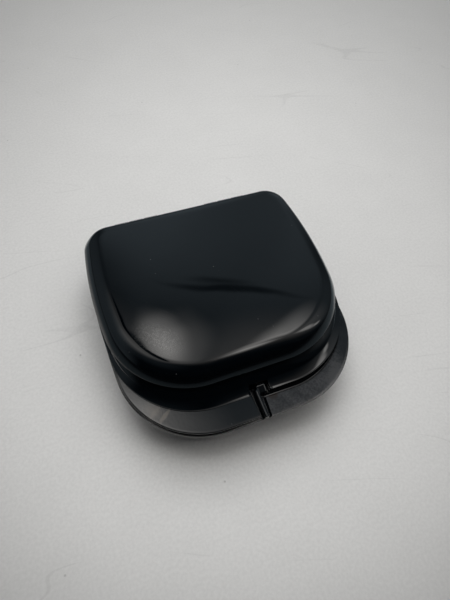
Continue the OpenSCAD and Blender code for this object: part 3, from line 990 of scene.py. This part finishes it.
# %% The pins' steel
def pin_steel():
    """Drawn steel wire: fine rings of roughness along the pin."""
    material, shader = new_material("pin_steel")
    grain = mottle(object_mm(shader), (2.0, 16.0, 16.0))
    rough = add(shader, "ShaderNodeMapRange", {"To Min": 0.2, "To Max": 0.42}, Value=grain)
    fill(shader.inputs["Roughness"], rough.outputs["Result"])
    shader.inputs["Base Color"].default_value = (0.55, 0.56, 0.57, 1)
    shader.inputs["Metallic"].default_value = 1.0
    return material


steel = pin_steel()
for name in ("hinge_pin_left", "hinge_pin_right"):
    node = frame["nodes"][name]
    node.data.materials.clear()
    node.data.materials.append(steel)
    print(name, "is drawn steel")

# %% [markdown]
# ## The camera
#
# The photograph was taken from above the case's front left, from so near that
# its far parts look clearly smaller. The place, the tilt and the lens below
# were found by fitting the case's outline to it.

# %% The camera
CAM_AZ, CAM_EL, CAM_ROLL = (math.radians(v) for v in (-27.887, 59.409, 8.341))
CAM_DISTANCE = 149.81
CAM_TARGET = np.array([1.732, 27.097 + CASE_Y, 15.185])
FOCAL_PIXELS = 454.5
PHOTO_HEIGHT = 600


def camera_axes(az, el, roll):
    """The camera's right, up and backward directions from its azimuth, elevation and roll."""
    back = np.array([math.sin(az) * math.cos(el), -math.cos(az) * math.cos(el), math.sin(el)])
    right = np.cross(-back, [0, 0, 1])
    right /= np.linalg.norm(right)
    up = np.cross(right, -back)
    return right * math.cos(roll) + up * math.sin(roll), up * math.cos(roll) - right * math.sin(roll), back


right, up, back = camera_axes(CAM_AZ, CAM_EL, CAM_ROLL)
camera_place = (CAM_TARGET + CAM_DISTANCE * back) * MM
camera_data = bpy.data.cameras.new("camera")
camera_data.lens = FOCAL_PIXELS * camera_data.sensor_width / PHOTO_HEIGHT
camera_data.clip_start = 0.01
camera = in_scene("camera", camera_data)
columns = np.stack([right, up, back, camera_place], 1)
camera.matrix_world = Matrix(np.vstack([columns, [0, 0, 0, 1]]).tolist())
scene.camera = camera
scene.view_settings.view_transform = "Standard"
print("camera at", [round(v / MM, 1) for v in camera_place], "mm, lens", round(camera_data.lens, 2), "mm")

# %% [markdown]
# ## The table
#
# The case stands on a pale matt table. In the photograph it darkens towards
# the corners and glows a little above the middle, so every point of the table
# keeps, in a colour layer, a shade worked out from where the camera sees it. A
# mottle, a few hair scratches and specks lie on that. The polished plastic
# mirrors the table near it as it is, and the table further out darker, as in
# the photograph, where the light there has fallen off.

# %% The table's shade
FALL_START, FALL_END, FALL_DEPTH, FALL_LOW = 180.0, 480.0, 0.52, 15.0
GLOW_END, GLOW_SHARE, GLOW_HIGH = 210.0, 0.085, 105.0
TABLE_HALF, TABLE_STEPS, TABLE_DENSER = 3.0, 141, 3
BEHIND = 0.02


def table_grid():
    """A square grid that is dense in the middle: places in metres, and its faces."""
    even = np.linspace(-1, 1, TABLE_STEPS)
    line = TABLE_HALF * np.sign(even) * np.abs(even) ** TABLE_DENSER
    gx, gy = np.meshgrid(line, line)
    points = np.stack([gx.ravel(), gy.ravel(), 0 * gx.ravel()], 1)
    return points, grid_faces(TABLE_STEPS, TABLE_STEPS, close_stations=False)[:, ::-1]


def picture_radius(points, high):
    """How far each point is seen from a place so high over the picture's centre, in the photo's pixels."""
    apart = points - camera_place
    scale = FOCAL_PIXELS / np.maximum(-apart @ back, BEHIND)
    return np.hypot(apart @ right * scale, apart @ up * scale - high)


table_points, table_faces = table_grid()
fall = smooth((picture_radius(table_points, -FALL_LOW) - FALL_START) / (FALL_END - FALL_START))
glow = smooth(1 - picture_radius(table_points, GLOW_HIGH) / GLOW_END)
shade = (1 - FALL_DEPTH * fall) * (1 + GLOW_SHARE * glow)
table_mesh = bpy.data.meshes.new("table")
table_mesh.from_pydata(table_points.tolist(), [], table_faces.tolist())
layer = table_mesh.color_attributes.new("shade", "FLOAT_COLOR", "POINT")
layer.data.foreach_set("color", np.repeat(shade[:, None], 4, 1).astype(np.float32).ravel())
print("table shade from", round(float(shade.min()), 2), "to", round(float(shade.max()), 2))


# %% The table's surface
TABLE_COLOUR = (0.815, 0.815, 0.805)
# Places and tints of the painted shade that the plastic mirrors: the table near the case, its middle, and
# further out.
NEAR_TABLE = (-0.011, 0.0, 0.088, 0.088, 0.0, 0.66, 1.0)
MIDDLE_TABLE = (0.0, 0.0, 0.30, 0.30, 0.0, 0.25, 1.0)
MIDDLE_IN_GLOSS, FAR_IN_GLOSS = (0.205, 0.255, 0.285, 1), (0.01, 0.012, 0.014, 1)
HAIR_WIDTH, HAIR_DARK, MARKED_SHADE, SPECKS_APART = (0.0012, 0.0045), 0.35, 0.72, 0.45


def hairlines(mm):
    """A few long faint scratches: in some places, where a slow noise crosses its middle value."""
    slow = mottle(mm, (0.007, 0.040, 0.02), 1.0, 0.25)
    off_middle = joined("ABSOLUTE", joined("SUBTRACT", slow, 0.5), 0.0)
    line = ramp(off_middle, *HAIR_WIDTH, 1.0, 0.0)
    return times(line, ramp(mottle(mm, 0.04), 0.45, 0.62))


def table_surface():
    """A pale matt paint with a very slight mottle, scratches and specks, times the painted shade and glow of
    the colour layer, and painted darker further out for reflected rays.
    """
    material, shader = new_material("table")
    where = add(shader, "ShaderNodeTexCoord").outputs["Object"]
    mm = object_mm(shader)
    layer = add(shader, "ShaderNodeAttribute", {"attribute_name": "shade"}).outputs["Color"]
    broad = ramp(mottle(mm, 0.05, 3.0), 0.2, 0.8, 0.985, 1.015)
    grain = ramp(mottle(mm, 1.1), 0.2, 0.8, 0.95, 1.05)
    specks = dust(mapped(mm, Scale=(SPECKS_APART,) * 3))
    marks = joined("MAXIMUM", times(hairlines(mm), HAIR_DARK), specks)
    tone = times(broad, grain, ramp(marks, 0.0, 1.0, 1.0, MARKED_SHADE))
    colour = joined("MULTIPLY", layer, tone, TABLE_COLOUR, kind=VECTORS)
    # For reflected rays the table further out is painted dark: a painted shade of the light's fall-off.
    far = joined("SUBTRACT", 1.0, ellipse(where, NEAR_TABLE))
    in_gloss = add(shader, "ShaderNodeLightPath").outputs["Is Glossy Ray"]
    mirrored = tinted(FAR_IN_GLOSS, MIDDLE_IN_GLOSS, ellipse(where, MIDDLE_TABLE))
    seen = tinted(colour, mirrored, times(far, in_gloss))
    fill(shader.inputs["Base Color"], seen)
    fill(shader.inputs["Normal"], bumped(mottle(mm, 2.0), 0.01))
    shader.inputs["Roughness"].default_value = 0.6
    return material


table_mesh.materials.append(table_surface())
table = in_scene("table", table_mesh)

# %% [markdown]
# ## The room's light
#
# A black mirror shows nothing but the room, so the room is the picture. Each
# direction from which light comes is a point on a disk: the direction's x and
# y, seen from above. On that disk the room is a handful of soft ellipses, each
# placed where the gloss shows it: a ceiling lamp that makes the light
# spot on the crown's corner, two panels that light the crown's front edge, and
# the bluish walls, crossed by dark beams. A patch below 0 is a dark corner in
# its own sum. A broad window behind, which the gloss doesn't show, lights the
# table and casts the soft shadow at the front.

# %% The room
LAMPS = {
    "ceiling lamp": (-0.037, 0.286, 0.108, 0.214, 0.54, 0.00, 3.37),
    "panel": (0.347, 0.072, 0.071, 0.287, -0.82, 0.00, 2.95),
    "second panel": (0.257, -0.158, 0.088, 0.177, -0.12, 0.11, 3.90),
    "corner lamp": (0.580, -0.215, 0.210, 0.080, -0.49, 0.25, 2.45),
    "corner lamp's end": (0.748, -0.268, 0.080, 0.045, 0.15, 0.20, 2.3),
    "left wall lamp": (-0.299, 0.243, 0.424, 0.305, -0.65, 0.13, 1.04),
    "glow round the lamp": (0.031, 0.195, 0.165, 0.214, 0.08, 0.25, 0.79),
    "glow round the panels": (0.395, -0.077, 0.355, 0.660, 1.28, 0.02, 0.76),
    "dark corner": (-0.126, 0.254, 0.042, 0.170, 0.37, 0.38, -2.60),
    "dark shoulder": (-0.218, 0.425, 0.034, 0.125, 0.50, 0.30, -0.90),
}
WALLS = {
    "left wall": (-0.400, 0.109, 0.354, 0.660, 0.56, 0.25, 0.12),
    "right wall": (0.758, 0.034, 0.440, 0.660, 0.14, 0.19, 0.21),
    "back wall": (0.092, 0.745, 0.617, 0.384, 1.04, 0.00, 0.46),
    "back right wall": (0.509, 0.560, 0.401, 0.880, -0.76, 0.16, 0.34),
    "far left": (-0.849, 0.250, 0.420, 1.320, -0.69, 0.25, 0.22),
    "front right": (0.490, -0.481, 0.643, 0.125, -0.43, 0.25, 0.03),
    "dark beam": (0.262, 0.402, 0.340, 0.024, -0.47, 0.30, -0.24),
    "upper dark beam": (0.235, 0.455, 0.190, 0.026, -0.53, 0.00, -0.19),
    "dark shoulder": (-0.218, 0.425, 0.034, 0.125, 0.50, 0.30, -0.30),
}
ROOM_GLOW = 0.0083
LAMP_TINT, WALL_TINT = (1.02, 0.995, 0.965), (0.82, 1.0, 1.12, 1)


def tinted_sum(direction, patches, glow, tint):
    """The light of several patches, never less than nothing, times their tint."""
    total = joined("ADD", glow, *(ellipse(direction, patch) for patch in patches.values()))
    return joined("MULTIPLY", joined("MAXIMUM", total, 0.0), tint, kind=VECTORS)


def room_light():
    """The world's light by direction: the lamps' sum and the walls' sum, each with its tint."""
    world = bpy.data.worlds.new("room")
    world.use_nodes = True
    background = world.node_tree.nodes["Background"]
    direction = add(background, "ShaderNodeTexCoord").outputs["Generated"]
    in_gloss = add(background, "ShaderNodeLightPath").outputs["Is Glossy Ray"]
    wall_tint = tinted((1, 1, 1, 1), WALL_TINT, in_gloss)
    lamps = tinted_sum(direction, LAMPS, 0.0, LAMP_TINT)
    walls = tinted_sum(direction, WALLS, ROOM_GLOW, wall_tint)
    fill(background.inputs["Color"], joined("ADD", lamps, walls, kind=VECTORS))
    return world


scene.world = room_light()
print("patches of light in the room:", len(LAMPS) + len(WALLS))

# %% The window behind
WINDOW_PLACE, WINDOW_SIZE, WINDOW_RADIANCE = Vector((0.25, 0.98, 1.6)), (1.9, 1.5), 2.35

window = bpy.data.lights.new("back_light", "AREA")
window.shape = "RECTANGLE"
window.size, window.size_y = WINDOW_SIZE
window.energy = WINDOW_RADIANCE * math.pi * window.size * window.size_y
back_light = in_scene("back_light", window)
back_light.location = WINDOW_PLACE
back_light.rotation_euler = (-WINDOW_PLACE).to_track_quat("-Z", "Y").to_euler()
back_light.visible_glossy = False
print("the window gives", round(window.energy, 1), "W")
